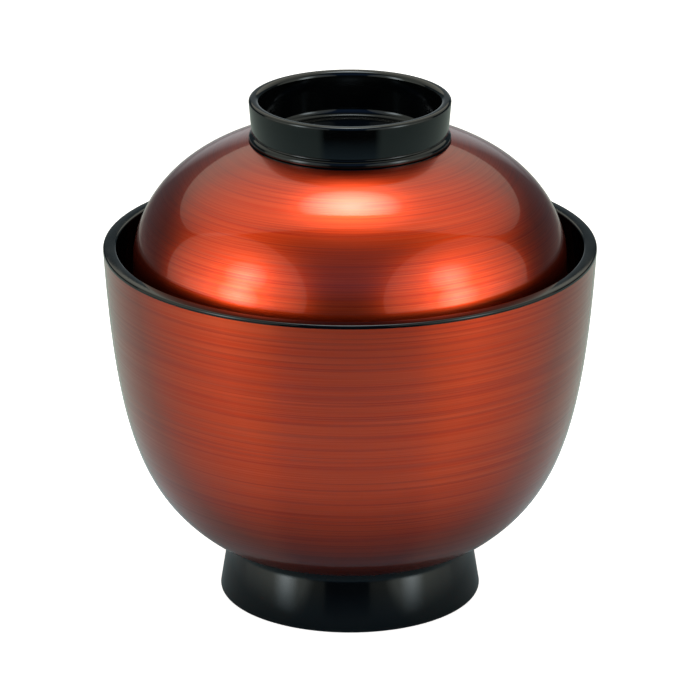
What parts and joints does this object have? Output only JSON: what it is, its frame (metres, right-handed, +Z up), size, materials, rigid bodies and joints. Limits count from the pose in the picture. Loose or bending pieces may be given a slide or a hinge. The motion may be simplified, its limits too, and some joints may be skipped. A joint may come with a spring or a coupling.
{
  "type": "soup bowl with lid",
  "caption": "Deep round lacquer soup bowl on a flared foot ring, with a domed drop-in lid carrying a finger ring over a base bead; brushed copper outside, gloss black inside, rim, foot and ring.",
  "frame": {"origin": "centre of the foot ring's resting plane, under the turning axis", "axes": "+Z up along the turning axis, the way the lid lifts; +X and +Y are free because the part is round"},
  "size_m": [0.11, 0.11, 0.1157],
  "materials": {
    "black_lacquer": "black lacquer polished to a deep mirror shine",
    "copper_lacquer": "copper-red lacquer brushed in fine rings round the turning axis, under a clear gloss coat"
  },
  "bodies": {
    "bowl": {"bowl_body": "black_lacquer", "bowl_lacquer": "copper_lacquer", "foot_ring": "black_lacquer"},
    "lid": {"lid_body": "black_lacquer", "lid_lacquer": "copper_lacquer", "finger_ring": "black_lacquer"}
  },
  "joints": [
    {"name": "lid_lift", "type": "slide", "parent": "bowl", "child": "lid", "axis": [0, 0, 1], "range_m": [0, 0.06]}
  ]
}
